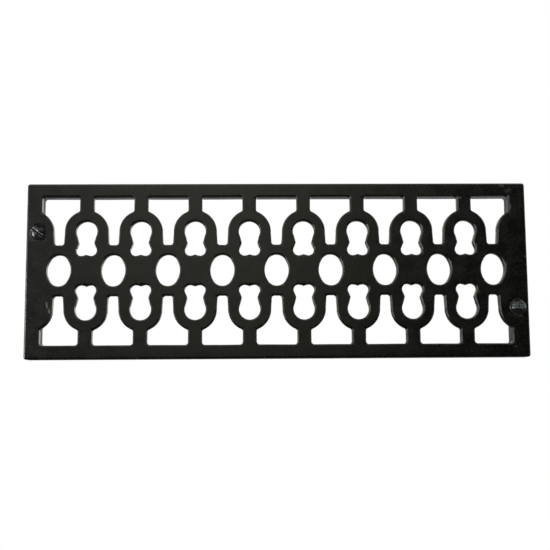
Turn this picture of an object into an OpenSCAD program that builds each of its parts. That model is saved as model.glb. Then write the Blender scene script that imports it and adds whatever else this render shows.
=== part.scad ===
// Cast iron air vent: a pierced plate cast in one piece, hollow behind its pattern, with its two
// round head fixing screws.
// It stands as it is fixed on a wall. The front faces -Y and the back lies in the plane y = 0.
// The origin is at the middle of the back face, +X to the right and +Z up. Millimetres.

/* [Plate] */
// Width of the border beyond the bells at each end of the plate, at its back
end_border = 6.45; // [5:0.05:16]
// Width of the border above and below the bells, at the plate's back
long_border = 6.4; // [3:0.05:16]
// Thickness of the plate at its borders
plate_t = 7.5; // [6:0.5:10]
// Thickness of the pierced pattern, behind which the plate is hollow
pattern_t = 3.5; // [2:0.5:5]
// Radius of the plate's four corners, seen from the front
corner_r = 1.2; // [1:0.1:4]
// Width of the rounded arris along the plate's outer front edge
arris = 0.9; // [0.4:0.1:0.9]
// Draft of the plate's outer sides, which makes it wider towards the back, in degrees
draft = 1; // [0:0.5:3]

/* [Pattern] */
// Number of columns of bells and ovals, with one keyhole fewer in each row
columns = 9; // [2:1:14]
// Distance from one column to the next
pitch = 25.4; // [25.2:0.1:26.4]
// How far the pattern lies to the right of the plate's middle
pattern_x = -0.55; // [-1.5:0.05:1.5]
// How far the pattern lies above the plate's middle
pattern_z = 0.1; // [-1:0.05:1]
// Width of the slanting arris along the front edge of every opening
opening_arris = 0.6; // [0.3:0.1:0.8]

/* [Keyhole openings] */
// Radius of the keyhole's large round end
key_r = 5; // [4.8:0.1:5.3]
// Height of that end's centre from the pattern's middle line
key_rise = 18.3; // [18:0.05:18.7]
// Radius of each of the keyhole's two small lobes
lobe_r = 2.6; // [2.5:0.05:2.9]
// Distance of each lobe's centre from the keyhole's own middle line
lobe_x = 2.28; // [2.2:0.02:2.4]
// Height of the lobes' centres from the pattern's middle line
lobe_rise = 9.4; // [9.2:0.05:9.6]
// Distance of the point of the waist from the keyhole's own middle line
waist_x = 3.3; // [3.1:0.1:3.5]
// Height of the point of the waist from the pattern's middle line
waist_rise = 12.85; // [12.6:0.05:13.1]

/* [Bell openings] */
// Width of the bar that follows each keyhole round, between it and the bells
web = 5.1; // [4.8:0.1:5.4]
// Width of the bell's wide end
bell_w = 18.9; // [18.4:0.1:19.6]
// How much less the first and last bells reach towards the plate's ends
end_trim = 1.2; // [0:0.1:1.5]
// Height of the bell's straight outer side from the pattern's middle line
bell_rise = 34.85; // [34:0.05:36]
// Height of the narrow end of the bell's neck from the pattern's middle line
neck_rise = 11.9; // [11:0.1:12.4]
// Width of the neck at that end
neck_w = 4.7; // [3.6:0.1:5]
// Radius in the corners of the bell's wide end
bell_r = 1.4; // [1:0.1:2.4]
// Radius where the bell's side meets the bar round the keyhole
shoulder_r = 1.2; // [1:0.1:1.8]
// Radius in the corners at the end of the bell's neck
neck_r = 1.3; // [0.8:0.1:1.7]

/* [Oval openings] */
// Width of the ovals
oval_w = 11.3; // [10.8:0.1:12]
// Height of the ovals
oval_h = 14.7; // [14.2:0.1:15.4]
// Radius of the ovals' two ends
oval_r = 4.7; // [4.4:0.1:4.9]

/* [Fixing screws] */
// Distance of each screw from the plate's nearer side
screw_inset = 5.4; // [5:0.1:6.4]
// Height of the left screw above the plate's middle, and of the right one below it
screw_rise = 17.8; // [14:0.1:22]
// Diameter of the screw's round head
head_d = 7.9; // [7:0.1:8.4]
// Height of the screw's round head
head_h = 2.9; // [2.2:0.1:3.4]
// Width of the screwdriver slot
slot_w = 1.1; // [0.8:0.1:1.4]
// Depth of the screwdriver slot
slot_depth = 1.5; // [0.8:0.1:1.8]
// Turn of the left screw's slot, in degrees
left_slot = -36.5; // [-90:0.5:90]
// Turn of the right screw's slot, in degrees
right_slot = 0; // [-90:0.5:90]
// Diameter of the screw's plain shank
shank_d = 4.2; // [3.6:0.1:4.6]
// Length of the screw under its head
screw_len = 25.4; // [19:0.1:38]
// Length of the plain shank
plain_len = 8.5; // [8:0.5:12]
// Mean diameter of the screw's thread
thread_d = 3.6; // [3:0.1:3.8]
// Length of the screw's point
point_len = 4; // [2:0.5:6]
// Thickness of the boss round the screw's hole, behind the pattern
boss_wall = 1.7; // [1:0.1:2.5]
// Clearance of the shank in its hole, all round
hole_clear = 0.4; // [0.2:0.1:0.6]

/* [Hidden] */
$fn = 96;

IRON = [0.13, 0.13, 0.13];
BLACK_STEEL = [0.07, 0.07, 0.08];

// How far a cut runs past the faces that it opens
over = 1;
// How far the cut of an arris starts below it, within the opening
dip = 0.5;
// Depth of the strip that a cut along the plate's outer side takes away
band = 1.6;
// Where a straight edge runs into a round one they cross at this angle, and not quite smoothly
blend = 7;
soft = cos(blend);
slope = tan(draft);

// The pattern and its borders give the plate its size
plate_w = (columns - 1) * pitch + bell_w + 2 * end_border;
plate_h = 2 * (bell_rise + long_border);
half_w = plate_w / 2;
half_h = plate_h / 2;
half_pitch = pitch / 2;

// The bar round a keyhole has the keyhole's own centre
bar_r = key_r + web;
bar_centre = [half_pitch, key_rise];
bell_half = bell_w / 2;

// Centre of the rounded corner at the end of the bell's neck
neck_corner = [neck_w / 2 - neck_r * soft, neck_rise + neck_r * soft];

// The slanting side of the bell's neck, from its corner to the bar and on into the bell
neck_foot = [neck_w / 2, neck_corner[1]];
neck_bar = touch_point(bar_centre, bar_r * soft, neck_foot, -1);
neck_turn = atan2(neck_bar[1] - key_rise, half_pitch - neck_bar[0]);
neck_top = past(neck_foot, neck_bar, 1.5 * bar_r * sin(blend));

// The two straight edges of the keyhole's waist, each from its round end to the waist's point
key_centre = [0, key_rise];
lobe_centre = [lobe_x, lobe_rise];
waist_tip = [waist_x, waist_rise];
waist_high = touch_point(key_centre, key_r * soft, waist_tip, 1);
waist_low = touch_point(lobe_centre, lobe_r * soft, waist_tip, -1);

// The oval's long sides are arcs that run into its round ends
oval_half = oval_w / 2;
oval_end = oval_h / 2 - oval_r;
oval_side_r = (pow(oval_end, 2) + pow(oval_half, 2) - pow(oval_r, 2)) / (oval_w - 2 * oval_r);
oval_side_x = oval_side_r - oval_half;
oval_turn = atan2(oval_end, oval_side_x);
oval_join = oval_side_r * sin(oval_turn);
oval_spread = (1 - soft) * oval_side_r * oval_r / (oval_side_r - oval_r);

// Each screw's place on the plate and the turn of its slot
left_screw = [-(half_w - screw_inset), screw_rise];
right_screw = [half_w - screw_inset, -screw_rise];
hole_d = shank_d + 2 * hole_clear;
boss_d = hole_d + 2 * boss_wall;
// Diameter that the screw's point narrows to
tip_d = 0.4;

// How far a side of a bell lies from the bell's middle line
function side_of(column, side) =
    let (at_end = side < 0 ? column == 0 : column == columns - 1)
    bell_half - (at_end ? end_trim : 0);

// Centre of the rounded corner between a bell's side and its wide end
function corner_of(half) = [half - bell_r * soft, bell_rise - bell_r * soft];

// Centre of the rounded shoulder between a bell's side and the bar
function shoulder_of(half) =
    let (x = half - shoulder_r * soft)
    [x, key_rise + sqrt(pow(bar_r + shoulder_r * soft, 2) - pow(half_pitch - x, 2))];

// Direction of that shoulder from the bar's centre
function shoulder_turn(half) =
    let (shoulder = shoulder_of(half))
    atan2(shoulder[1] - key_rise, half_pitch - shoulder[0]);

// Point where a line from tip touches a circle, on the side that the sign gives
function touch_point(centre, r, tip, side) =
    let (
        way = tip - centre,
        turn = atan2(way[1], way[0]) + side * acos(r / norm(way))
    )
    centre + r * [cos(turn), sin(turn)];

// Point that lies a given way past b, seen from a
function past(a, b, way) = b + way * (b - a) / norm(b - a);

// Section of a cut along an outer side, with the metal on its right and the front face on top.
// The wall stands at x = 0 where the rounded arris begins, and leans back with the draft.
// The arris is an arc that crosses the wall and the front face at a small angle.
module side_section() {
    throat = plate_t - arris;
    top = plate_t + over;
    centre = [1.25 * arris, throat - 0.25 * arris];
    polygon([
        [-band, -over],
        [-slope * (throat + over), -over],
        [slope * (top - throat), top],
        [-band, top]
    ]);
    difference() {
        translate([-band, centre[1]]) square([band + centre[0], top - centre[1]]);
        translate(centre) circle(r = norm(centre - [0, throat]));
    }
}

// Straight cut from a to b, with the metal on the right of that way
module side_cut(a, b) {
    way = b - a;
    translate([a[0], a[1], 0])
        rotate([0, 0, atan2(way[1], way[0])])
            rotate([90, 0, 90])
                linear_extrude(height = norm(way)) mirror([1, 0]) side_section();
}

// Cut round a corner of the metal, over a quarter turn
module corner_cut(centre, r) {
    translate([centre[0], centre[1], 0])
        rotate_extrude(angle = 90) translate([r, 0]) mirror([1, 0]) side_section();
}

// Repeats a shape on the other side of the upright middle line
module both_sides() {
    for (m = [0, 1]) mirror([m, 0, 0]) children();
}

// Repeats a shape in the upper row and, upside down, in the lower one
module both_rows() {
    for (m = [0, 1]) mirror([0, m, 0]) children();
}

// Parts of a bell that lie at one of its sides, before the bar is taken from them
module bell_side(half) {
    corner = corner_of(half);
    shoulder = shoulder_of(half);
    touch_x = half_pitch - bar_r * cos(shoulder_turn(half));
    translate([-over, shoulder[1]]) square([half + over, corner[1] - shoulder[1]]);
    translate([-over, key_rise]) square([touch_x + over, shoulder[1] - key_rise + over]);
    translate(corner) circle(r = bell_r);
    translate(shoulder) circle(r = shoulder_r);
}

// Outline of a bell, narrow end down, from how far its two sides lie from its middle line
module bell_shape(left, right) {
    difference() {
        union() {
            mirror([1, 0]) bell_side(left);
            bell_side(right);
            translate([-corner_of(left)[0], corner_of(left)[1] - over])
                square([corner_of(left)[0] + corner_of(right)[0], bell_r * soft + over]);
            polygon([
                neck_foot,
                neck_bar,
                [-neck_bar[0], neck_bar[1]],
                [-neck_foot[0], neck_foot[1]]
            ]);
            translate([-neck_corner[0], neck_rise])
                square([2 * neck_corner[0], neck_corner[1] - neck_rise + over]);
            both_sides() translate(neck_corner) circle(r = neck_r);
        }
        both_sides() translate(bar_centre) circle(r = bar_r);
    }
}

// Outline of a keyhole, round end up
module key_shape() {
    translate(key_centre) circle(r = key_r);
    both_sides() {
        translate(lobe_centre) circle(r = lobe_r);
        polygon([key_centre, [0, lobe_rise], lobe_centre, waist_low, waist_tip, waist_high]);
    }
}

// Outline of an oval
module oval_shape() {
    intersection() {
        translate([oval_side_x, 0]) circle(r = oval_side_r);
        translate([-oval_side_x, 0]) circle(r = oval_side_r);
        square([2 * oval_w, 2 * oval_join], center = true);
    }
    both_rows() translate([0, oval_end]) circle(r = oval_r + oval_spread);
}

// Repeats a bell or an oval in every column, and says how far the bell's sides lie from its middle
module in_columns() {
    for (i = [0 : columns - 1]) {
        $left = side_of(i, -1);
        $right = side_of(i, 1);
        translate([(i - (columns - 1) / 2) * pitch, 0]) children();
    }
}

// Repeats a shape at every bell's two sides, and says how far the side lies from the bell's middle
module at_bell_sides() {
    in_columns() both_rows() for (m = [0, 1]) {
        $half = m == 0 ? $right : $left;
        mirror([m, 0, 0]) children();
    }
}

// Repeats a keyhole between the columns
module between_columns() {
    for (i = [0 : columns - 2])
        translate([(i - columns / 2 + 1) * pitch, 0]) children();
}

// Every opening of the pattern, flat
module pattern_shape() {
    translate([pattern_x, pattern_z]) {
        in_columns() both_rows() bell_shape($left, $right);
        in_columns() oval_shape();
        between_columns() both_rows() key_shape();
    }
}

// Outline of the hollow behind the pattern, in line with the outermost sides of the bells
module hollow_shape() {
    left = (columns - 1) / 2 * pitch + side_of(0, -1);
    right = (columns - 1) / 2 * pitch + side_of(columns - 1, 1);
    inset = bell_r * soft;
    translate([pattern_x, pattern_z]) {
        translate([-left, -bell_rise + inset]) square([left + right, 2 * (bell_rise - inset)]);
        translate([-left + inset, -bell_rise]) square([left + right - 2 * inset, 2 * bell_rise]);
        both_rows() for (x = [-left + inset, right - inset])
            translate([x, bell_rise - inset]) circle(r = bell_r);
    }
}

// The hollow behind the pattern, with the bosses round the screws' holes left standing
module hollow() {
    translate([0, 0, -over]) linear_extrude(height = plate_t - pattern_t + over) difference() {
        hollow_shape();
        for (place = [left_screw, right_screw]) translate(place) circle(d = boss_d);
    }
}

// Section of the cut that takes an arris off: x runs into the metal, y from the arris to the front
module arris_section() {
    polygon([
        [-dip, -dip],
        [opening_arris + over, opening_arris + over],
        [-dip, opening_arris + over]
    ]);
}

// Arris along a straight edge from a to b, with the metal on the right of that way
module line_arris(a, b) {
    way = b - a;
    translate([a[0], a[1], 0])
        rotate([0, 0, atan2(way[1], way[0])])
            rotate([90, 0, 90])
                linear_extrude(height = norm(way)) mirror([1, 0]) arris_section();
}

// Arris all round a circle
module round_arris(centre, r) {
    translate([centre[0], centre[1], -dip])
        cylinder(r1 = r - dip, r2 = r + opening_arris + over, h = dip + opening_arris + over);
}

// Arris along an arc with the metal outside it, over an angle to each side of +X
module hollow_arris(centre, r, turn) {
    translate([centre[0], centre[1], 0])
        rotate([0, 0, -turn])
            rotate_extrude(angle = 2 * turn) translate([r, 0]) arris_section();
}

// Arris along an arc with the metal inside it, from one angle to another
module bar_arris(centre, r, from, to) {
    translate([centre[0], centre[1], 0])
        rotate([0, 0, from])
            rotate_extrude(angle = to - from) translate([r, 0]) mirror([1, 0]) arris_section();
}

// Puts the cuts of the arrises on the front face
module on_front() {
    translate([pattern_x, pattern_z, plate_t - opening_arris]) children();
}

// Arrises of every round corner and round end
module round_arrises() {
    on_front() {
        at_bell_sides() {
            round_arris(corner_of($half), bell_r);
            round_arris(shoulder_of($half), shoulder_r);
            round_arris(neck_corner, neck_r);
        }
        between_columns() both_rows() {
            round_arris(key_centre, key_r);
            both_sides() round_arris(lobe_centre, lobe_r);
        }
        in_columns() both_rows() round_arris([0, oval_end], oval_r + oval_spread);
    }
}

// Arrises of the bells' bars and of the ovals' long sides
module bent_arrises() {
    on_front() {
        at_bell_sides()
            bar_arris(bar_centre, bar_r, 180 - shoulder_turn($half), 180 - neck_turn + blend / 2);
        in_columns() both_sides()
            hollow_arris([-oval_side_x, 0], oval_side_r, oval_turn);
    }
}

// Arrises of the bells' straight edges and of the keyholes' waists above their points
module straight_arrises() {
    on_front() {
        in_columns() both_rows() {
            line_arris([corner_of($right)[0], bell_rise], [-corner_of($left)[0], bell_rise]);
            line_arris([-neck_corner[0], neck_rise], [neck_corner[0], neck_rise]);
        }
        at_bell_sides() {
            line_arris([$half, shoulder_of($half)[1]], [$half, corner_of($half)[1]]);
            line_arris(neck_foot, neck_top);
        }
        between_columns() both_rows() both_sides()
            line_arris(past(waist_high, waist_tip, over), waist_high);
    }
}

// Arrises of the keyholes' waists below their points
module waist_arrises() {
    on_front() between_columns() both_rows() both_sides()
        line_arris(waist_low, past(waist_low, waist_tip, over));
}

// Trims the blank to the plate's outline, with its draft, its rounded arris and its corners
module rim_cuts() {
    x = half_w - slope * (plate_t - arris);
    z = half_h - slope * (plate_t - arris);
    far = 3 * over;
    corner = corner_r * soft;
    both_rows() side_cut([-x - far, z], [x + far, z]);
    both_sides() side_cut([x, z + far], [x, -z - far]);
    both_rows() both_sides() corner_cut([x - corner, z - corner], corner_r);
}

// The plate with all that goes through it, still with sharp edges and larger all round
module pierced_blank() {
    linear_extrude(height = plate_t) difference() {
        square([plate_w + 2 * over, plate_h + 2 * over], center = true);
        pattern_shape();
        for (place = [left_screw, right_screw]) translate(place) circle(d = hole_d);
    }
}

// The casting: drawn lying on its back, and then stood up
module grille_plate() {
    color(IRON) rotate([90, 0, 0]) difference() {
        pierced_blank();
        hollow();
        rim_cuts();
        round_arrises();
        bent_arrises();
        straight_arrises();
        waist_arrises();
    }
}

// Round head wood screw, along +Z from its seat, with its domed and slotted head below z = 0
module screw(slot_turn) {
    head_r = head_d / 2;
    dome_r = (pow(head_r, 2) + pow(head_h, 2)) / (2 * head_h);
    thread_end = screw_len - point_len;
    difference() {
        intersection() {
            translate([0, 0, dome_r - head_h]) sphere(r = dome_r);
            translate([0, 0, -head_h - over]) cylinder(r = head_r + over, h = head_h + over);
        }
        rotate([0, 0, -slot_turn])
            translate([-head_d, -slot_w / 2, -head_h - over])
                cube([2 * head_d, slot_w, slot_depth + over]);
    }
    cylinder(d = shank_d, h = plain_len);
    cylinder(d = thread_d, h = thread_end);
    translate([0, 0, thread_end]) cylinder(d1 = thread_d, d2 = tip_d, h = point_len);
}

// The two screws, with their heads seated on the plate's front face
module fixing_screws() {
    color(BLACK_STEEL) {
        translate([left_screw[0], -plate_t, left_screw[1]])
            rotate([-90, 0, 0]) screw(left_slot);
        translate([right_screw[0], -plate_t, right_screw[1]])
            rotate([-90, 0, 0]) screw(right_slot);
    }
}

grille_plate();
fixing_screws();
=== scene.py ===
"""Dresses the cast iron air vent: its painted casting, its two screws, the light and the camera.

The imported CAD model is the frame. The casting shown is a merged copy of its CAD node with blunted
points, slightly eased edges and the small unevenness of sand casting. The screws get finer heads with
worn slots, and real threads.
Everything is in metres, with the front towards -Y, the back in the plane Y = 0 and +Z up.
"""

import logging
import math
from dataclasses import dataclass, field
from enum import Enum

import bmesh
import bpy
from mathutils import Matrix, Vector, noise


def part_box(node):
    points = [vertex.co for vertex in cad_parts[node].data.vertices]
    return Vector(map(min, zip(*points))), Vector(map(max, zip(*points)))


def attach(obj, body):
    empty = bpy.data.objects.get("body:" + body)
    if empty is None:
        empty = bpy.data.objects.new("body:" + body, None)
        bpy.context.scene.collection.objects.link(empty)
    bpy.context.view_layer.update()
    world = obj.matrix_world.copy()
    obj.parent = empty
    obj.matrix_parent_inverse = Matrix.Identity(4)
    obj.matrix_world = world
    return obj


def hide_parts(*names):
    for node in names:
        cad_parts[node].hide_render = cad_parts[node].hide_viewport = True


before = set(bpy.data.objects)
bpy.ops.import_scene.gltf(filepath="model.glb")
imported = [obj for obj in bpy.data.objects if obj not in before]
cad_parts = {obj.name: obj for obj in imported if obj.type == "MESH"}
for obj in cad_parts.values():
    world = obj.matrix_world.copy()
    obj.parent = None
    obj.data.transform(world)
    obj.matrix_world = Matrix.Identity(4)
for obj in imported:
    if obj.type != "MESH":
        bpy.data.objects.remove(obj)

LOG = logging.getLogger("air_vent")
MM = 0.001
PHOTO_SIZE = 550

Colour = tuple[float, float, float]


class Slot(Enum):
    """Material slots of the record."""

    IRON = "iron"
    SCREW = "screw"


class MarkKind(Enum):
    """What a mark on the casting is."""

    SCUFF = "scuff"
    CHIP = "chip"


def colour(rgb: Colour) -> tuple[float, float, float, float]:
    """Returns a colour with full alpha."""
    return (rgb[0], rgb[1], rgb[2], 1.0)


def add_part(whole: bmesh.types.BMesh, part: bmesh.types.BMesh) -> None:
    """Adds a copy of one mesh to another.

    Args:
        whole: The mesh that grows.
        part: The mesh that is added, which is freed.
    """
    carrier = bpy.data.meshes.new("carrier")
    part.to_mesh(carrier)
    part.free()
    whole.from_mesh(carrier)
    bpy.data.meshes.remove(carrier)


class NodeSheet:
    """A shader node tree that is filled one node at a time."""

    def __init__(self, tree: bpy.types.NodeTree) -> None:
        """Keeps the tree and clears it.

        Args:
            tree: The node tree of a material, a world or a group.
        """
        self.tree = tree
        tree.nodes.clear()

    def add(self, kind: str, settings: dict | None = None, inputs: dict | None = None) -> bpy.types.Node:
        """Adds a node, sets it up and joins its inputs.

        Args:
            kind: Blender's name of the node type.
            settings: Attributes of the node, by name.
            inputs: Values or output sockets for the node's inputs, by name or number.

        Returns:
            The new node.
        """
        node = self.tree.nodes.new(kind)
        for name, value in (settings or {}).items():
            setattr(node, name, value)
        for key, value in (inputs or {}).items():
            if isinstance(value, bpy.types.NodeSocket):
                self.tree.links.new(value, node.inputs[key])
            else:
                node.inputs[key].default_value = value
        return node

    def maths(self, operation: str, first: object, second: object = 0.0) -> bpy.types.NodeSocket:
        """Adds a Math node.

        Args:
            operation: Blender's name of the operation.
            first: First value or socket.
            second: Second value or socket.

        Returns:
            The node's output.
        """
        return self.add("ShaderNodeMath", {"operation": operation}, {0: first, 1: second}).outputs[0]

    def ramp(self, value: object, low: float, high: float, to_low: float = 0.0,
             to_high: float = 1.0) -> bpy.types.NodeSocket:
        """Adds a smooth Map Range node.

        Args:
            value: Value or socket to map.
            low: Value that becomes to_low.
            high: Value that becomes to_high.
            to_low: Result at and below low.
            to_high: Result at and above high.

        Returns:
            The mapped value's socket.
        """
        ends = {"Value": value, "From Min": low, "From Max": high, "To Min": to_low, "To Max": to_high}
        settings = {"interpolation_type": "SMOOTHSTEP"}
        return self.add("ShaderNodeMapRange", settings, ends).outputs["Result"]

    def place(self, where: bpy.types.Node) -> bpy.types.NodeSocket:
        """Turns Object coordinates into millimetres.

        Args:
            where: The Texture Coordinate node.

        Returns:
            Socket of the place, in millimetres.
        """
        inputs = {0: where.outputs["Object"], "Scale": 1.0 / MM}
        return self.add("ShaderNodeVectorMath", {"operation": "SCALE"}, inputs).outputs[0]

    def grain(self, place: bpy.types.NodeSocket, size: object, detail: float = 2.0) -> bpy.types.NodeSocket:
        """Adds a Noise Texture whose patches have a size in millimetres.

        Args:
            place: Socket of the place, in millimetres.
            size: Size of the patches, as a value or a socket.
            detail: Detail of the noise.

        Returns:
            The noise's value, about 0.5 on the average.
        """
        inputs = {"Vector": place, "Scale": self.maths("DIVIDE", 1.0, size), "Detail": detail}
        return self.add("ShaderNodeTexNoise", {}, inputs).outputs[0]

    def blend(self, share: object, first: object, second: object) -> bpy.types.NodeSocket:
        """Adds a colour Mix node.

        Args:
            share: Share of the second colour.
            first: First colour or socket.
            second: Second colour or socket.

        Returns:
            The mixed colour's socket.
        """
        inputs = {"Factor": share, 6: first, 7: second}
        return self.add("ShaderNodeMix", {"data_type": "RGBA"}, inputs).outputs[2]


def start_material(name: str) -> tuple[bpy.types.Material, NodeSheet, bpy.types.Node]:
    """Makes an empty material that reads Object coordinates.

    Args:
        name: Name of the material.

    Returns:
        The material, its node sheet and the Texture Coordinate node in it.
    """
    made = bpy.data.materials.new(name)
    made.use_nodes = True
    sheet = NodeSheet(made.node_tree)
    return made, sheet, sheet.add("ShaderNodeTexCoord")


class EffectGroup:
    """A shader node group with named inputs and outputs, built once and shared by the materials."""

    name = ""
    inputs: dict[str, str] = {}
    outputs: dict[str, str] = {}

    def tree(self) -> bpy.types.NodeTree:
        """Returns the group's node tree, and builds it at the first call."""
        made = bpy.data.node_groups.get(self.name)
        if made is None:
            made = bpy.data.node_groups.new(self.name, "ShaderNodeTree")
            for name, kind in self.inputs.items():
                made.interface.new_socket(name, in_out="INPUT", socket_type=kind)
            for name, kind in self.outputs.items():
                made.interface.new_socket(name, in_out="OUTPUT", socket_type=kind)
            sheet = NodeSheet(made)
            entry = sheet.add("NodeGroupInput")
            results = self.fill(sheet, entry.outputs)
            sheet.add("NodeGroupOutput", {}, results)
        return made

    def fill(self, sheet: NodeSheet, entry: bpy.types.NodeOutputs) -> dict[str, bpy.types.NodeSocket]:
        """Builds the effect's nodes.

        Args:
            sheet: The group's node sheet.
            entry: The group's inputs, as sockets that the nodes read.

        Returns:
            The socket for each output, by name.
        """
        raise NotImplementedError

    def use(self, sheet: NodeSheet, inputs: dict) -> bpy.types.NodeOutputs:
        """Places the group in a material.

        Args:
            sheet: The material's node sheet.
            inputs: Values or sockets for the group's inputs, by name.

        Returns:
            The group's outputs there.
        """
        node = sheet.add("ShaderNodeGroup", {"node_tree": self.tree()})
        for name, value in inputs.items():
            if isinstance(value, bpy.types.NodeSocket):
                sheet.tree.links.new(value, node.inputs[name])
            else:
                node.inputs[name].default_value = value
        return node.outputs


class CastSkin(EffectGroup):
    """Uneven skin: slow swells, fine grain and a few pits, as heights in millimetres, and a tone."""

    name = "cast_skin"
    inputs = {
        "Place": "NodeSocketVector",
        "Swell size": "NodeSocketFloat",
        "Swell height": "NodeSocketFloat",
        "Grain size": "NodeSocketFloat",
        "Grain height": "NodeSocketFloat",
        "Pit depth": "NodeSocketFloat",
    }
    outputs = {"Height": "NodeSocketFloat", "Tone": "NodeSocketFloat", "Pits": "NodeSocketFloat"}

    def fill(self, sheet: NodeSheet, entry: bpy.types.NodeOutputs) -> dict[str, bpy.types.NodeSocket]:
        """Builds the swells, the grain and the pits.

        Args:
            sheet: The group's node sheet.
            entry: The group's inputs.

        Returns:
            The height, the tone from 0 to 1 and the mask of the pits.
        """
        swell = sheet.grain(entry["Place"], entry["Swell size"], 1.5)
        grain = sheet.grain(entry["Place"], entry["Grain size"], 3.0)
        cells = sheet.add("ShaderNodeTexVoronoi", {}, {"Vector": entry["Place"], "Scale": 0.22})
        pits = sheet.ramp(cells.outputs["Distance"], 0.10, 0.03)
        high = sheet.maths("MULTIPLY", swell, entry["Swell height"])
        fine = sheet.maths("MULTIPLY", grain, entry["Grain height"])
        deep = sheet.maths("MULTIPLY", pits, entry["Pit depth"])
        height = sheet.maths("SUBTRACT", sheet.maths("ADD", high, fine), deep)
        tone = sheet.ramp(sheet.maths("ADD", swell, grain), 0.75, 1.3)
        return {"Height": height, "Tone": tone, "Pits": pits}


class ArrisMask(EffectGroup):
    """Masks of the faces that turn from the front to the sides or upwards, whole and in patches."""

    name = "arris_mask"
    inputs = {"Normal": "NodeSocketVector", "Place": "NodeSocketVector", "Patch size": "NodeSocketFloat"}
    outputs = {"Mask": "NodeSocketFloat", "Whole": "NodeSocketFloat"}

    def fill(self, sheet: NodeSheet, entry: bpy.types.NodeOutputs) -> dict[str, bpy.types.NodeSocket]:
        """Builds the masks from how far the surface faces the front.

        Args:
            sheet: The group's node sheet.
            entry: The group's inputs.

        Returns:
            The mask in patches and the whole mask, both 1 at most, on the middle of an arris.
        """
        axes = sheet.add("ShaderNodeSeparateXYZ", {}, {0: entry["Normal"]})
        front = sheet.maths("MULTIPLY", axes.outputs["Y"], -1.0)
        rising = sheet.maths("MULTIPLY", sheet.ramp(front, 0.15, 0.5),
                             sheet.ramp(axes.outputs["Z"], -0.5, -0.1))
        falling = sheet.ramp(front, 0.97, 0.8)
        patches = sheet.ramp(sheet.grain(entry["Place"], entry["Patch size"], 3.0), 0.36, 0.56)
        both = sheet.maths("MULTIPLY", rising, falling)
        return {"Mask": sheet.maths("MULTIPLY", both, patches), "Whole": both}


class RaggedSpot(EffectGroup):
    """Mask of one soft, ragged spot at a place on the front."""

    name = "ragged_spot"
    inputs = {
        "Place": "NodeSocketVector",
        "Centre": "NodeSocketVector",
        "Spread": "NodeSocketVector",
        "Turn": "NodeSocketFloat",
        "Raggedness": "NodeSocketFloat",
    }
    outputs = {"Mask": "NodeSocketFloat"}

    def fill(self, sheet: NodeSheet, entry: bpy.types.NodeOutputs) -> dict[str, bpy.types.NodeSocket]:
        """Builds the mask from the distance to the spot's centre.

        Args:
            sheet: The group's node sheet.
            entry: The group's inputs.

        Returns:
            The mask, 1 at the spot's centre.
        """
        away = sheet.add("ShaderNodeVectorMath", {"operation": "SUBTRACT"},
                         {0: entry["Place"], 1: entry["Centre"]})
        turned = sheet.add("ShaderNodeVectorRotate", {"rotation_type": "Y_AXIS"},
                           {"Vector": away.outputs[0], "Angle": entry["Turn"]})
        scaled = sheet.add("ShaderNodeVectorMath", {"operation": "DIVIDE"},
                           {0: turned.outputs[0], 1: entry["Spread"]})
        length = sheet.add("ShaderNodeVectorMath", {"operation": "LENGTH"}, {0: scaled.outputs[0]})
        rough = sheet.maths("SUBTRACT", sheet.grain(entry["Place"], 0.7, 3.0), 0.5)
        uneven = sheet.maths("MULTIPLY", rough, entry["Raggedness"])
        reach = sheet.maths("ADD", length.outputs["Value"], uneven)
        return {"Mask": sheet.ramp(reach, 1.15, 0.45)}


@dataclass(frozen=True)
class Mark:
    """A mark on the casting's front, in millimetres."""

    x: float
    z: float
    wide: float
    high: float
    turn: float = 0.0
    strength: float = 1.0
    kind: MarkKind = MarkKind.SCUFF


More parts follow.
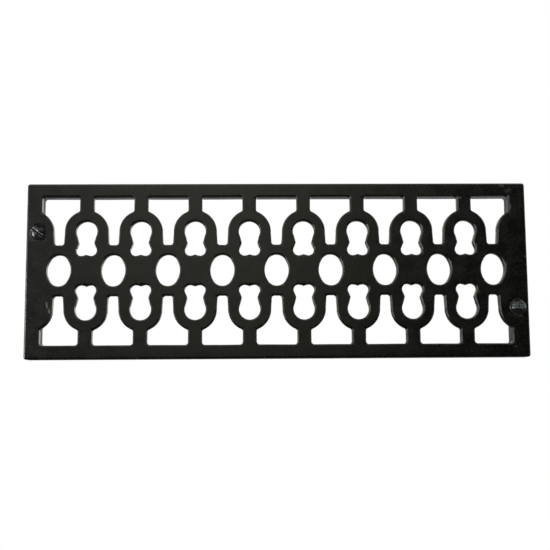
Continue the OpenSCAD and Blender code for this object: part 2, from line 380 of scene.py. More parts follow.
@dataclass(frozen=True)
class IronPaint:
    """Satin black paint over the cast skin, worn on the arrises, with a painted highlight along them, and
    marked here and there.
    """

    name: str = "satin_black_iron"
    face_y: float = -7.5
    deep: Colour = (0.0014, 0.0014, 0.0013)
    pale: Colour = (0.0066, 0.0066, 0.0060)
    # Greyer paint for the walls of the hollow behind the pattern.
    hollow_grey: Colour = (0.060, 0.058, 0.063)
    worn: Colour = (0.085, 0.081, 0.072)
    # The arrises' colour: their wear and a painted highlight along them, in one colour.
    scuffed: Colour = (0.11, 0.10, 0.09)
    roughness: float = 0.22
    arris_dull: float = 0.30
    arris_patch: float = 7.0
    wear_and_highlight_share: float = 0.8
    scuff_dull: float = 0.2
    scuff_height: float = 0.04
    hollow_dull: float = 0.35
    hollow_front: float = 3.2
    hollow_half_w: float = 114.0
    hollow_half_h: float = 38.5
    chip_depth: float = 0.25
    pit_share: float = 0.25
    ragged: float = 1.6
    swell_size: float = 8.0
    swell_height: float = 0.09
    grain_size: float = 1.1
    grain_height: float = 0.004
    pit_depth: float = 0.03
    marks: tuple[Mark, ...] = (
        Mark(-107.0, -16.4, 0.5, 1.7, 8.0, 1.0),
        Mark(-105.8, -18.9, 0.6, 1.7, 14.0, 1.0),
        Mark(106.6, 39.9, 1.6, 0.7, -12.0, 0.6),
        Mark(109.4, 37.4, 1.9, 1.2, 30.0, 0.35),
        Mark(110.2, 29.6, 0.5, 1.9, 4.0, 1.0),
        Mark(109.3, 34.6, 1.5, 0.5, 40.0, 0.6),
        Mark(66.4, 34.6, 0.7, 0.45, -40.0, 0.8),
        Mark(86.4, 34.0, 0.7, 0.45, 50.0, 1.0, MarkKind.CHIP),
        Mark(93.4, 11.6, 0.4, 0.7, 20.0, 1.0, MarkKind.CHIP),
        Mark(116.6, 6.1, 0.5, 0.5, 0.0, 1.0, MarkKind.CHIP),
        Mark(-27.2, -35.8, 0.2, 0.9, 10.0, 0.5),
        Mark(-91.8, 3.4, 0.3, 0.25, 0.0, 0.6),
        Mark(-60.5, 38.6, 0.35, 0.25, 0.0, 0.6),
        Mark(110.6, -36.2, 0.5, 0.5, 0.0, 0.5),
        Mark(107.4, 1.5, 0.3, 2.4, -6.0, 0.7),
        Mark(95.6, 1.4, 0.25, 1.9, 4.0, 0.4),
    )

    def material(self) -> bpy.types.Material:
        """Builds the paint's material.

        Returns:
            The material, which reads the place in millimetres from Object coordinates.
        """
        made, sheet, where = start_material(self.name)
        place = sheet.place(where)
        skin = CastSkin().use(sheet, {
            "Place": place,
            "Swell size": self.swell_size,
            "Swell height": self.swell_height,
            "Grain size": self.grain_size,
            "Grain height": self.grain_height,
            "Pit depth": self.pit_depth,
        })
        arris = ArrisMask().use(sheet, {
            "Normal": where.outputs["Normal"],
            "Place": place,
            "Patch size": self.arris_patch,
        })
        scuffs, chips = self.mark_masks(sheet, place)
        paint = sheet.blend(skin["Tone"], colour(self.deep), colour(self.pale))
        hollow = self.hollow_mask(sheet, place)
        # The hollow behind the pattern is painted greyer.
        paint = sheet.blend(hollow, paint, colour(self.hollow_grey))
        # Lighter paint on the arrises in patches: wear, and a painted highlight along them; the mask leaves
        # out the arrises that face down.
        worn = sheet.maths("MULTIPLY", arris["Mask"], self.wear_and_highlight_share)
        paint = sheet.blend(worn, paint, colour(self.worn))
        paint = sheet.blend(scuffs, paint, colour(self.scuffed))
        pitted = sheet.maths("MULTIPLY", skin["Pits"], self.pit_share)
        paint = sheet.blend(pitted, paint, colour(self.scuffed))
        dull = sheet.ramp(skin["Tone"], 0.0, 1.0, self.roughness - 0.05, self.roughness + 0.07)
        dull = sheet.maths("ADD", dull, sheet.maths("MULTIPLY", scuffs, self.scuff_dull))
        dull = sheet.maths("ADD", dull, sheet.maths("MULTIPLY", hollow, self.hollow_dull))
        dull = sheet.maths("ADD", dull, sheet.maths("MULTIPLY", arris["Whole"], self.arris_dull))
        height = sheet.maths("SUBTRACT", skin["Height"], sheet.maths("MULTIPLY", chips, self.chip_depth))
        height = sheet.maths("ADD", height, sheet.maths("MULTIPLY", scuffs, self.scuff_height))
        bump = sheet.add("ShaderNodeBump", {}, {"Strength": 1.0, "Distance": MM, "Height": height})
        surface = sheet.add("ShaderNodeBsdfPrincipled", {}, {
            "Base Color": paint,
            "Roughness": dull,
            "Metallic": 0.0,
            "Normal": bump.outputs[0],
        })
        sheet.add("ShaderNodeOutputMaterial", {}, {"Surface": surface.outputs[0]})
        return made

    def hollow_mask(self, sheet: NodeSheet, place: bpy.types.NodeSocket) -> bpy.types.NodeSocket:
        """Finds the hollow behind the pattern, whose paint is made greyer and duller.

        Args:
            sheet: The material's node sheet.
            place: Socket of the place, in millimetres.

        Returns:
            The mask, 1 in the hollow and 0 on the plate's outside and in the pattern.
        """
        axes = sheet.add("ShaderNodeSeparateXYZ", {}, {0: place})
        front = self.face_y + self.hollow_front
        deep = sheet.ramp(axes.outputs["Y"], front, front + 0.3)
        across = sheet.ramp(sheet.maths("ABSOLUTE", axes.outputs["X"]), self.hollow_half_w,
                            self.hollow_half_w - 1.0)
        along = sheet.ramp(sheet.maths("ABSOLUTE", axes.outputs["Z"]), self.hollow_half_h,
                           self.hollow_half_h - 1.0)
        return sheet.maths("MULTIPLY", deep, sheet.maths("MULTIPLY", across, along))

    def mark_masks(self, sheet: NodeSheet,
                   place: bpy.types.NodeSocket) -> tuple[bpy.types.NodeSocket, bpy.types.NodeSocket]:
        """Adds up the marks.

        Args:
            sheet: The material's node sheet.
            place: Socket of the place, in millimetres.

        Returns:
            The mask of all marks, and the mask of the chips alone.
        """
        scuffs: object = 0.0
        chips: object = 0.0
        for mark in self.marks:
            spot = RaggedSpot().use(sheet, {
                "Place": place,
                "Centre": (mark.x, self.face_y, mark.z),
                "Spread": (mark.wide, 2.5, mark.high),
                "Turn": math.radians(mark.turn),
                "Raggedness": self.ragged,
            })
            mask = sheet.maths("MULTIPLY", spot["Mask"], mark.strength)
            scuffs = sheet.maths("MAXIMUM", scuffs, mask)
            if mark.kind is MarkKind.CHIP:
                chips = sheet.maths("MAXIMUM", chips, mask)
        return scuffs, chips


@dataclass(frozen=True)
class BareSlot:
    """Steel at the screwdriver slots: edges and walls bare from scraping, and the right screw's slot floor
    painted as lit bare steel while the left one's stays black.
    """

    name: str = "bare_slot"
    dark: Colour = (0.008, 0.008, 0.009)
    light: Colour = (0.42, 0.47, 0.50)
    roughness: float = 0.38
    metallic: float = 0.4
    bare_patch_size: float = 0.8

    def material(self) -> bpy.types.Material:
        """Builds the slots' material.

        Returns:
            The material, which reads the place in millimetres from Object coordinates.
        """
        made, sheet, where = start_material(self.name)
        place = sheet.place(where)
        turned = sheet.add("ShaderNodeSeparateXYZ", {}, {0: where.outputs["Normal"]})
        beside = sheet.ramp(turned.outputs["Y"], -0.95, -0.8)
        # Painted light: past X = 0 the slot floor gets the light bare steel, so the right screw's floor
        # looks lit while the left one's stays black.
        right = sheet.ramp(sheet.add("ShaderNodeSeparateXYZ", {}, {0: place}).outputs["X"], -1.0, 1.0)
        patches = sheet.ramp(sheet.grain(place, self.bare_patch_size, 3.0), 0.34, 0.6)
        share = sheet.maths("MULTIPLY", patches, sheet.maths("MAXIMUM", beside, right))
        scraped_and_lit = sheet.blend(share, colour(self.dark), colour(self.light))
        surface = sheet.add("ShaderNodeBsdfPrincipled", {}, {
            "Base Color": scraped_and_lit,
            "Roughness": self.roughness,
            "Metallic": sheet.maths("MULTIPLY", share, self.metallic),
        })
        sheet.add("ShaderNodeOutputMaterial", {}, {"Surface": surface.outputs[0]})
        return made


@dataclass(frozen=True)
class JapannedSteel:
    """Gloss black japanned steel, grey round the edge of the head from rubbing, with a painted reflection
    there too.
    """

    name: str = "japanned_steel"
    black: Colour = (0.010, 0.010, 0.011)
    rubbed_and_sheen: Colour = (0.17, 0.165, 0.155)
    roughness: float = 0.17
    swell_size: float = 2.2
    swell_height: float = 0.025
    grain_size: float = 0.5
    grain_height: float = 0.0015
    rub_and_sheen_size: float = 1.6
    rub_and_sheen_metallic: float = 0.3

    def material(self) -> bpy.types.Material:
        """Builds the screws' material.

        Returns:
            The material, which reads the place in millimetres from Object coordinates.
        """
        made, sheet, where = start_material(self.name)
        place = sheet.place(where)
        skin = CastSkin().use(sheet, {
            "Place": place,
            "Swell size": self.swell_size,
            "Swell height": self.swell_height,
            "Grain size": self.grain_size,
            "Grain height": self.grain_height,
            "Pit depth": 0.0,
        })
        turned = sheet.add("ShaderNodeSeparateXYZ", {}, {0: where.outputs["Normal"]})
        # Grey round the head's edge in patches: wear from rubbing, and a painted reflection of the bright
        # surroundings on the rim.
        rim = sheet.ramp(turned.outputs["Y"], -0.55, -0.36, 0.04, 1.0)
        patches = sheet.ramp(sheet.grain(place, self.rub_and_sheen_size, 3.0), 0.3, 0.6, 0.35, 1.0)
        rub_and_sheen = sheet.maths("MULTIPLY", rim, patches)
        paint = sheet.blend(rub_and_sheen, colour(self.black), colour(self.rubbed_and_sheen))
        dull = sheet.ramp(skin["Tone"], 0.0, 1.0, self.roughness - 0.04, self.roughness + 0.1)
        bump = sheet.add("ShaderNodeBump", {}, {"Strength": 1.0, "Distance": MM, "Height": skin["Height"]})
        surface = sheet.add("ShaderNodeBsdfPrincipled", {}, {
            "Base Color": paint,
            "Roughness": dull,
            "Metallic": sheet.maths("MULTIPLY", rub_and_sheen, self.rub_and_sheen_metallic),
            "Normal": bump.outputs[0],
        })
        sheet.add("ShaderNodeOutputMaterial", {}, {"Surface": surface.outputs[0]})
        return made


def make_piece(name: str, mesh: bmesh.types.BMesh, finish: bpy.types.Material, slot: Slot,
               *nodes: str) -> bpy.types.Object:
    """Turns a bmesh into a piece of the vent that stands for CAD nodes.

    Args:
        name: Name of the piece.
        mesh: Its mesh, in place, which is freed.
        finish: Its material.
        slot: The record's material slot, which is not used.
        nodes: Names of the CAD nodes that it stands for.

    Returns:
        The new object.
    """
    data = bpy.data.meshes.new(name)
    mesh.to_mesh(data)
    mesh.free()
    data.materials.append(finish)
    data.shade_smooth()
    piece = bpy.data.objects.new(name, data)
    bpy.context.scene.collection.objects.link(piece)
    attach(piece, "root")
    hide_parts(*nodes)
    LOG.info("%s: %d faces", name, len(data.polygons))
    return piece


@dataclass
class Casting:
    """The pierced plate, a merged copy of its CAD node, in millimetres and degrees."""

    node: str = "grille_plate"
    arris_round: float = 0.30
    arris_back: float = -6.0
    arris_angles: tuple[float, float] = (35.0, 55.0)
    back_round: float = 0.20
    point_push: float = 0.8
    point_reach: float = 1.6
    point_range: float = 1.6
    point_slope: float = 0.3
    point_round: float = 0.25
    pattern_back: float = -4.0
    grid: float = 3.0
    grid_half_w: float = 117.0
    grid_half_h: float = 41.0
    sway: float = 0.10
    sway_size: float = 13.0
    sway_start: tuple[float, float, float] = (3.1, 7.7, 1.9)
    rim: float = 4.0
    point_angle: float = 40.0
    back_angle: float = 69.0
    finish: IronPaint = field(default_factory=IronPaint)

    def merged_copy(self) -> bmesh.types.BMesh:
        """Copies the CAD node's loose triangles and joins them into flat faces.

        Returns:
            The merged mesh.
        """
        mesh = bmesh.new()
        mesh.from_mesh(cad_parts[self.node].data)
        bmesh.ops.remove_doubles(mesh, verts=mesh.verts[:], dist=0.002 * MM)
        bmesh.ops.dissolve_limit(mesh, angle_limit=math.radians(0.4), use_dissolve_boundaries=False,
                                 verts=mesh.verts[:], edges=mesh.edges[:], delimit=set())
        return mesh

    def arris_edges(self, mesh: bmesh.types.BMesh) -> list[bmesh.types.BMEdge]:
        """Finds the edges on both sides of the openings' slanting arrises.

        Args:
            mesh: The merged mesh.

        Returns:
            The edges.
        """
        found = []
        for edge in mesh.edges:
            if len(edge.link_faces) != 2:
                continue
            level = abs(edge.verts[0].co.y - edge.verts[1].co.y) < 0.02 * MM
            slanting = self.arris_angles[0] < math.degrees(edge.calc_face_angle(0.0)) < self.arris_angles[1]
            if level and slanting and edge.verts[0].co.y < self.arris_back * MM:
                found.append(edge)
        return found

    def point_edges(self, mesh: bmesh.types.BMesh) -> list[bmesh.types.BMEdge]:
        """Finds the sharp points that the iron makes at the keyholes' waists and between their lobes.

        Args:
            mesh: The merged mesh.

        Returns:
            The edges, which run back from the front.
        """
        found = []
        for edge in mesh.edges:
            if len(edge.link_faces) != 2 or not edge.is_convex:
                continue
            run = edge.verts[1].co - edge.verts[0].co
            backwards = abs(run.y) > self.point_slope * run.length
            if backwards and edge.calc_face_angle(0.0) > math.radians(self.point_angle):
                found.append(edge)
        return found

    def push_points(self, mesh: bmesh.types.BMesh, edges: list[bmesh.types.BMEdge]) -> None:
        """Pushes the sharp points back into the iron, the sharper the further, and softly beside them.

        Args:
            mesh: The merged mesh.
            edges: The points' edges.
        """
        reach = self.point_reach * MM
        moves = [Vector((0.0, 0.0, 0.0)) for _ in mesh.verts]
        for edge in edges:
            tip = edge.verts[0].co
            run = edge.verts[1].co - tip
            if math.hypot(run.x, run.z) > 0.02 * MM:
                continue
            into = -(edge.link_faces[0].normal + edge.link_faces[1].normal)
            into.y = 0.0
            into.normalize()
            amount = self.point_push * MM * math.sin(edge.calc_face_angle(0.0) / 2)
            for vert, move in zip(mesh.verts, moves):
                away = Vector((vert.co.x - tip.x, 0.0, vert.co.z - tip.z))
                aside = (away - into * away.dot(into)).length
                if away.length < self.point_range * reach and aside < reach:
                    move += into * amount * (1 - aside / reach) ** 2
        for vert, move in zip(mesh.verts, moves):
            vert.co += move

    def back_edges(self, mesh: bmesh.types.BMesh) -> list[bmesh.types.BMEdge]:
        """Finds the sharp edges round the border's back and round the back of the pattern.

        Args:
            mesh: The merged mesh.

        Returns:
            The edges.
        """
        found = []
        for edge in mesh.edges:
            if len(edge.link_faces) != 2 or not edge.is_convex:
                continue
            depths = [v.co.y / MM for v in edge.verts]
            level = abs(depths[0] - depths[1]) < 0.01
            square = edge.calc_face_angle(0.0) > math.radians(self.back_angle)
            if level and square and depths[0] > self.pattern_back - 0.01:
                found.append(edge)
        return found

    def round_edges(self, mesh: bmesh.types.BMesh, edges: list[bmesh.types.BMEdge], size: float,
                    segments: int) -> None:
        """Eases edges by at most a width, which the shortest edges beside them hold lower.

        Args:
            mesh: The mesh.
            edges: The edges to ease.
            size: Width taken off each face at most, in millimetres.
            segments: Number of steps across the rounding.
        """
        bmesh.ops.bevel(mesh, geom=edges, offset=size * MM, offset_type="OFFSET", segments=segments,
                        profile=0.5, affect="EDGES", clamp_overlap=True, material=-1)

    def cut_grid(self, mesh: bmesh.types.BMesh) -> None:
        """Cuts the mesh along a grid, so that the long straight faces can sway as well.

        Args:
            mesh: The mesh.
        """
        for axis, reach in ((0, self.grid_half_w), (2, self.grid_half_h)):
            count = int(2 * reach / self.grid)
            for i in range(1, count):
                place = Vector((0.0, 0.0, 0.0))
                place[axis] = (-reach + i * 2 * reach / count) * MM
                normal = Vector((0.0, 0.0, 0.0))
                normal[axis] = 1.0
                geometry = mesh.verts[:] + mesh.edges[:] + mesh.faces[:]
                bmesh.ops.bisect_plane(mesh, geom=geometry, dist=0.01 * MM, plane_co=place,
                                       plane_no=normal)

    def let_sway(self, mesh: bmesh.types.BMesh) -> None:
        """Moves the mesh a little sideways, except near the plate's outline, as in any sand casting.

        Args:
            mesh: The mesh.
        """
        low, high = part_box(self.node)
        for vert in mesh.verts:
            inside = min(vert.co.x - low.x, high.x - vert.co.x, vert.co.z - low.z, high.z - vert.co.z)
            share = min(1.0, max(0.0, inside / (self.rim * MM)))
            place = Vector((vert.co.x, 0.0, vert.co.z)) / (self.sway_size * MM)
            drift = noise.noise_vector(place + Vector(self.sway_start))
            vert.co.x += drift.x * self.sway * share * MM
            vert.co.z += drift.z * self.sway * share * MM

    def build(self) -> bpy.types.Object:
        """Makes the casting and dresses it.

        Returns:
            The casting.
        """
        mesh = self.merged_copy()
        LOG.info("merged copy: %d faces", len(mesh.faces))
        points = self.point_edges(mesh)
        self.push_points(mesh, points)
        LOG.info("points pushed back: %d edges", len(points))
        mesh.normal_update()
        self.round_edges(mesh, points, self.point_round, 3)
        self.round_edges(mesh, self.arris_edges(mesh), self.arris_round, 2)
        self.round_edges(mesh, self.back_edges(mesh), self.back_round, 1)
        self.cut_grid(mesh)
        self.let_sway(mesh)
        bmesh.ops.triangulate(mesh, faces=mesh.faces[:])
        piece = make_piece("casting", mesh, self.finish.material(), Slot.IRON, self.node)
        even = piece.modifiers.new("even_shading", "WEIGHTED_NORMAL")
        even.mode = "FACE_AREA_WITH_ANGLE"
        even.weight = 60
        even.keep_sharp = True
        return piece


@dataclass
class ScrewSizes:
    """Sizes of a number 8 round head wood screw, in millimetres."""

    head_d: float = 7.9
    head_h: float = 2.9
    rim_h: float = 0.15
    slot_w: float = 1.1
    slot_depth: float = 1.5
    slot_edge: float = 0.28
    shank_d: float = 4.2
    core_d: float = 3.0
    plain_len: float = 8.5
    length: float = 25.4
    point_len: float = 4.0
    point_r: float = 0.2
    fade_len: float = 1.2
    thread_pitch: float = 1.7


@dataclass
class RoundHeadScrew:
    """A slotted round head wood screw, built along +Z from its seat and then put in its place."""

    place: tuple[float, float, float]
    slot_turn: float
    sizes: ScrewSizes = field(default_factory=ScrewSizes)

    def head(self) -> bmesh.types.BMesh:
        """Turns the domed head and cuts its slot.

        Returns:
            The head, closed, with its seat in the plane z = 0 and its dome below it.
        """
        s = self.sizes
        head_r = s.head_d / 2
        dome_r = (head_r ** 2 + s.head_h ** 2) / (2 * s.head_h)
        mesh = bmesh.new()
        profile = [mesh.verts.new((0.0, 0.0, 0.0)), mesh.verts.new((head_r - s.rim_h, 0.0, 0.0))]
        steps = 10
        top_turn = math.asin(head_r / dome_r)
        for i in range(steps + 1):
            turn = top_turn * (1 - i / steps)
            radius = dome_r * math.sin(turn)
            lift = s.head_h - dome_r + dome_r * math.cos(turn)
            if i == 0:
                lift += s.rim_h
            profile.append(mesh.verts.new((radius, 0.0, -lift)))
        edges = [mesh.edges.new(pair) for pair in zip(profile, profile[1:])]
        bmesh.ops.spin(mesh, geom=profile + edges, cent=(0, 0, 0), axis=(0, 0, 1), dvec=(0, 0, 0),
                       angle=2 * math.pi, steps=64, use_merge=True)
        bmesh.ops.remove_doubles(mesh, verts=mesh.verts[:], dist=0.001)
        self.cut_slot(mesh)
        bmesh.ops.recalc_face_normals(mesh, faces=mesh.faces[:])
        return mesh

    def cut_slot(self, mesh: bmesh.types.BMesh) -> None:
        """Cuts the screwdriver slot across the dome, wears its edges down and closes walls and floor.

        Args:
            mesh: The turned head.
        """
        s = self.sizes
        half = s.slot_w / 2
        floor = -(s.head_h - s.slot_depth)
        outer = half + s.slot_edge
        planes = [((0, y, 0), (0, 1, 0)) for y in (outer, half, -half, -outer)]
        planes.append(((0, 0, floor), (0, 0, 1)))
        for point, normal in planes:
            geometry = mesh.verts[:] + mesh.edges[:] + mesh.faces[:]
            bmesh.ops.bisect_plane(mesh, geom=geometry, dist=0.0005, plane_co=point, plane_no=normal)
        gone = []
        for face in mesh.faces:
            middle = face.calc_center_median()
            if abs(middle.y) < half and middle.z < floor:
                gone.append(face)
        bmesh.ops.delete(mesh, geom=gone, context="FACES")
        rim = [edge for edge in mesh.edges if edge.is_boundary]
        for face in mesh.faces:
            middle = face.calc_center_median()
            if half < abs(middle.y) < outer and middle.z < floor:
                face.material_index = 1
                face.smooth = False
        worn = 1 - s.slot_edge / s.slot_depth
        for vert in {v for e in rim for v in e.verts}:
            vert.co.z = floor + (vert.co.z - floor) * worn
        corners = [v for v in {v for e in rim for v in e.verts}
                   if abs(abs(v.co.y) - half) < 0.001 and abs(v.co.z - floor) < 0.001]
        sides = []
        for side in (-1, 1):
            pair = [v for v in corners if v.co.y * side > 0]
            sides.append(mesh.edges.new(pair))
            arc = [e for e in rim if all(abs(v.co.y - side * half) < 0.001 for v in e.verts)]
            bmesh.ops.edgeloop_fill(mesh, edges=arc + [sides[-1]], mat_nr=1)
        ends = [e for e in rim if all(abs(v.co.z - floor) < 0.001 for v in e.verts)]
        bmesh.ops.edgeloop_fill(mesh, edges=ends + sides, mat_nr=1)

    def stem(self) -> bmesh.types.BMesh:
        """Winds the thread on its core and adds the plain shank.

        Returns:
            The stem, closed, from the seat at z = 0 to the point.
        """
        s = self.sizes
        start = s.plain_len - s.thread_pitch
        turns = int((s.length - start) / s.thread_pitch) + 2
        steps = 28
        mesh = bmesh.new()
        pitch = s.thread_pitch
        section = ((1.0, 0.0), (1.0, 0.55), (2.0, 0.74), (2.0, 0.80), (1.0, 1.0))
        profile = [mesh.verts.new((r, 0.0, start + z * pitch)) for r, z in section]
        edges = [mesh.edges.new(pair) for pair in zip(profile, profile[1:])]
        bmesh.ops.spin(mesh, geom=profile + edges, cent=(0, 0, 0), axis=(0, 0, 1),
                       dvec=(0, 0, pitch / steps), angle=2 * math.pi * turns, steps=steps * turns,
                       use_merge=False)
        bmesh.ops.remove_doubles(mesh, verts=mesh.verts[:], dist=0.01)
        for height, clear in ((s.plain_len, False), (s.length, True)):
            geometry = mesh.verts[:] + mesh.edges[:] + mesh.faces[:]
            bmesh.ops.bisect_plane(mesh, geom=geometry, dist=0.0005, plane_co=(0, 0, height),
                                   plane_no=(0, 0, 1), clear_outer=clear, clear_inner=not clear)
        self.shape_stem(mesh)
        return mesh

    def shape_stem(self, mesh: bmesh.types.BMesh) -> None:
        """Gives the wound thread its radii, its run out and its point, and adds the shank.

        Args:
            mesh: The wound thread, with a core radius of 1 and a crest radius of 2.
        """
        s = self.sizes
        for vert in mesh.verts:
            radius = math.hypot(vert.co.x, vert.co.y)
            crest = radius - 1.0
            run_out = min(1.0, max(0.0, (vert.co.z - s.plain_len) / s.thread_pitch))
            left = s.length - vert.co.z
            taper = min(1.0, max(0.0, left / s.point_len))
            core = s.point_r + (s.core_d / 2 - s.point_r) * taper ** 0.8
            depth = (s.shank_d - s.core_d) / 2 * run_out * min(1.0, left / s.fade_len + 0.05)
            wanted = core + crest * depth
            vert.co.x *= wanted / radius
            vert.co.y *= wanted / radius
        bmesh.ops.holes_fill(mesh, edges=[e for e in mesh.edges if e.is_boundary], sides=0)
        bmesh.ops.recalc_face_normals(mesh, faces=mesh.faces[:])
        middle = s.plain_len / 2
        bmesh.ops.create_cone(mesh, cap_ends=True, segments=48, radius1=s.shank_d / 2,
                              radius2=s.shank_d / 2, depth=s.plain_len,
                              matrix=Matrix.Translation((0, 0, middle)))

    def build(self) -> bmesh.types.BMesh:
        """Makes the screw and puts it in its place.

        Returns:
            The screw's mesh, in metres.
        """
        whole = bmesh.new()
        turn = Matrix.Rotation(math.radians(-self.slot_turn), 4, "Z")
        for part, way in ((self.head(), turn), (self.stem(), Matrix.Identity(4))):
            part.transform(way)
            add_part(whole, part)
        into_wall = Matrix.Rotation(math.radians(-90), 4, "X")
        seat = Matrix.Translation(Vector(self.place) * MM)
        whole.transform(seat @ into_wall @ Matrix.Scale(MM, 4))
        return whole


@dataclass
class FixingScrews:
    """The two screws that hold the vent."""

    node: str = "fixing_screws"
    left: tuple[float, float, float] = (-112.1, -7.5, 17.8)
    right: tuple[float, float, float] = (112.1, -7.5, -17.8)
    left_turn: float = -36.5
    right_turn: float = 0.0
    finish: JapannedSteel = field(default_factory=JapannedSteel)
    slot_finish: BareSlot = field(default_factory=BareSlot)

    def build(self) -> bpy.types.Object:
        """Makes both screws as one piece and dresses them.

        Returns:
            The screws.
        """
        both = bmesh.new()
        for place, turn in ((self.left, self.left_turn), (self.right, self.right_turn)):
            add_part(both, RoundHeadScrew(place, turn).build())
        piece = make_piece("screws", both, self.finish.material(), Slot.SCREW, self.node)
        piece.data.materials.append(self.slot_finish.material())
        piece.data.set_sharp_from_angle(angle=math.radians(38))
        return piece


@dataclass(frozen=True)
class SoftLamp:
    """A large soft lamp that points at the vent, in metres and watts."""

    name: str
    place: tuple[float, float, float]
    wide: float
    high: float
    power: float
    tint: Colour = (1.0, 1.0, 1.0)
    mirrored: bool = True

    def build(self) -> None:
        """Makes the lamp."""
        data = bpy.data.lights.new(self.name, "AREA")
        data.shape = "RECTANGLE"
        data.size = self.wide
        data.size_y = self.high
        data.energy = self.power
        data.color = self.tint
        lamp = bpy.data.objects.new(self.name, data)
        lamp.location = self.place
        lamp.visible_glossy = self.mirrored
        lamp.rotation_euler = (-Vector(self.place)).to_track_quat("-Z", "Y").to_euler()
        bpy.context.scene.collection.objects.link(lamp)


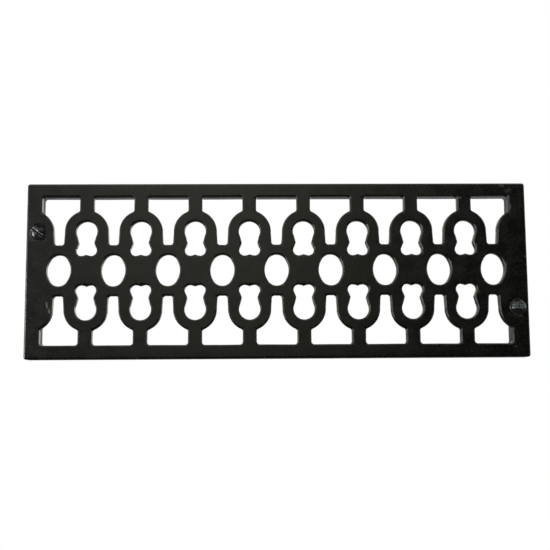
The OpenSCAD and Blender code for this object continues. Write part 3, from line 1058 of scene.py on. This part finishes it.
@dataclass
class Studio:
    """The pale floor, the white surroundings and the lamps."""

    floor_r: float = 2.2
    floor_z: float = -0.6
    floor_glow: float = 0.5
    floor_tone: Colour = (0.82, 0.82, 0.82)
    mirrored_floor: Colour = (0.03, 0.03, 0.03)
    matt_light: float = 0.2
    warm: Colour = (1.0, 1.0, 0.82)
    lamps: tuple[SoftLamp, ...] = (
        SoftLamp("left_lamp", (-0.34, -0.15, -0.06), 0.07, 0.19, 0.85, (1.0, 0.97, 0.91)),
        SoftLamp("right_lamp", (0.60, -0.27, -0.15), 0.08, 0.16, 0.30, (0.92, 1.0, 0.98)),
        SoftLamp("back_glow", (0.0, 0.35, -0.45), 0.60, 0.30, 9.5, (0.98, 0.97, 1.0), mirrored=False),
    )

    def floor(self) -> None:
        """Lays the floor far below the vent, pale to the camera and dark where surfaces mirror it."""
        mesh = bmesh.new()
        bmesh.ops.create_circle(mesh, cap_ends=True, segments=96, radius=self.floor_r)
        data = bpy.data.meshes.new("floor")
        mesh.to_mesh(data)
        mesh.free()
        ground = bpy.data.objects.new("floor", data)
        ground.location.z = self.floor_z
        bpy.context.scene.collection.objects.link(ground)
        finish = bpy.data.materials.new("pale_floor")
        finish.use_nodes = True
        sheet = NodeSheet(finish.node_tree)
        path = sheet.add("ShaderNodeLightPath")
        tone = sheet.blend(path.outputs["Is Glossy Ray"], colour(self.floor_tone),
                           colour(self.mirrored_floor))
        glow = sheet.maths("MULTIPLY", path.outputs["Is Camera Ray"], self.floor_glow)
        surface = sheet.add("ShaderNodeBsdfPrincipled", {}, {
            "Base Color": tone,
            "Roughness": 0.7,
            "Emission Color": colour((1.0, 1.0, 1.0)),
            "Emission Strength": glow,
        })
        sheet.add("ShaderNodeOutputMaterial", {}, {"Surface": surface.outputs[0]})
        data.materials.append(finish)

    def front_light(self, sheet: NodeSheet, axes: bpy.types.NodeOutputs) -> bpy.types.NodeSocket:
        """Builds what shining surfaces mirror in front of the vent and above it.

        Args:
            sheet: The world's node sheet.
            axes: The direction's X, Y and Z sockets.

        Returns:
            The strength, brightest a little left of the middle and fading to the right.
        """
        across = sheet.ramp(axes["X"], -0.07, 0.27, 0.78, 0.06)
        edge = sheet.ramp(axes["X"], -0.27, -0.06, 0.52, 1.0)
        level = sheet.ramp(axes["Z"], -0.18, 0.28, 0.05, 1.15)
        above = sheet.ramp(axes["Z"], 0.25, 0.6, 0.0, 0.7)
        top = sheet.ramp(axes["Z"], 0.98, 0.85, 0.05, 1.0)
        front = sheet.maths("MULTIPLY", sheet.maths("MULTIPLY", across, edge), level)
        return sheet.maths("MULTIPLY", sheet.maths("ADD", front, above), top)

    def back_light(self, sheet: NodeSheet, axes: bpy.types.NodeOutputs) -> bpy.types.NodeSocket:
        """Builds what shining surfaces mirror behind the vent and at its left.

        Args:
            sheet: The world's node sheet.
            axes: The direction's X, Y and Z sockets.

        Returns:
            The strength, which is bright behind at the right and weak elsewhere.
        """
        behind = sheet.maths("MULTIPLY", sheet.ramp(axes["Y"], 0.0, 0.35),
                             sheet.ramp(axes["X"], 0.02, 0.2, 0.01, 1.4))
        behind = sheet.maths("MULTIPLY", behind, sheet.ramp(axes["Z"], -0.10, 0.03, 0.1, 1.0))
        left = sheet.maths("MULTIPLY", sheet.ramp(axes["X"], -0.55, -0.9),
                           sheet.ramp(axes["Y"], -0.25, 0.1, 0.0, 0.5))
        below = sheet.maths("MULTIPLY", sheet.ramp(axes["Y"], 0.5, 0.8),
                            sheet.ramp(axes["Z"], -0.07, -0.15, 0.0, 0.08))
        return sheet.maths("ADD", sheet.maths("ADD", behind, left), below)

    def surroundings(self) -> None:
        """Makes the world: white to the camera, even and dim to matt surfaces, uneven to shining ones."""
        world = bpy.data.worlds.new("studio")
        bpy.context.scene.world = world
        world.use_nodes = True
        sheet = NodeSheet(world.node_tree)
        path = sheet.add("ShaderNodeLightPath")
        where = sheet.add("ShaderNodeTexCoord")
        axes = sheet.add("ShaderNodeSeparateXYZ", {}, {0: where.outputs["Generated"]}).outputs
        shining = path.outputs["Is Glossy Ray"]
        around = sheet.maths("MAXIMUM", self.front_light(sheet, axes), self.back_light(sheet, axes))
        glossy = sheet.maths("MULTIPLY", shining, around)
        plain = sheet.maths("SUBTRACT", 1.0, shining)
        light = sheet.maths("ADD", glossy, sheet.maths("MULTIPLY", plain, self.matt_light))
        seen = sheet.maths("MAXIMUM", light, path.outputs["Is Camera Ray"])
        middle = sheet.maths("MULTIPLY", sheet.ramp(axes["X"], -0.28, -0.08),
                             sheet.ramp(axes["X"], 0.26, 0.12))
        warm = sheet.maths("MULTIPLY", middle, shining)
        tint = sheet.blend(warm, colour((1.0, 1.0, 1.0)), colour(self.warm))
        back = sheet.add("ShaderNodeBackground", {}, {"Color": tint, "Strength": seen})
        sheet.add("ShaderNodeOutputWorld", {}, {"Surface": back.outputs[0]})

    def build(self) -> None:
        """Makes the whole studio."""
        self.floor()
        self.surroundings()
        for lamp in self.lamps:
            lamp.build()
        bpy.context.scene.view_settings.view_transform = "Standard"
        LOG.info("studio: %d lamps", len(self.lamps))


@dataclass
class Viewpoint:
    """The camera, where the photographer stood: in front of the vent and a little below its middle."""

    place: tuple[float, float, float] = (-0.0099982, -0.4255999, -0.0532326)
    yaw: float = -0.02062
    pitch: float = 0.12083
    roll: float = -0.00663
    focal_px: float = 902.585

    def build(self) -> None:
        """Makes the camera and gives it to the scene."""
        ahead = Vector((-math.sin(self.yaw) * math.cos(self.pitch),
                        math.cos(self.yaw) * math.cos(self.pitch), math.sin(self.pitch)))
        right = Vector((math.cos(self.yaw), math.sin(self.yaw), 0.0))
        above = right.cross(ahead)
        side = math.cos(self.roll) * right + math.sin(self.roll) * above
        top = math.cos(self.roll) * above - math.sin(self.roll) * right
        data = bpy.data.cameras.new("camera")
        data.sensor_width = 36.0
        data.lens = self.focal_px / PHOTO_SIZE * data.sensor_width
        data.clip_start = 0.01
        data.clip_end = 20.0
        camera = bpy.data.objects.new("camera", data)
        turn = Matrix((side, top, -ahead)).transposed()
        camera.matrix_world = Matrix.Translation(self.place) @ turn.to_4x4()
        bpy.context.scene.collection.objects.link(camera)
        bpy.context.scene.camera = camera


def main() -> None:
    """Builds the vent's pieces and the studio, in order."""
    logging.basicConfig(level=logging.INFO, format="%(name)s: %(message)s")
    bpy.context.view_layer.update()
    Casting().build()
    FixingScrews().build()
    Studio().build()
    Viewpoint().build()


if __name__ == "__main__":
    main()
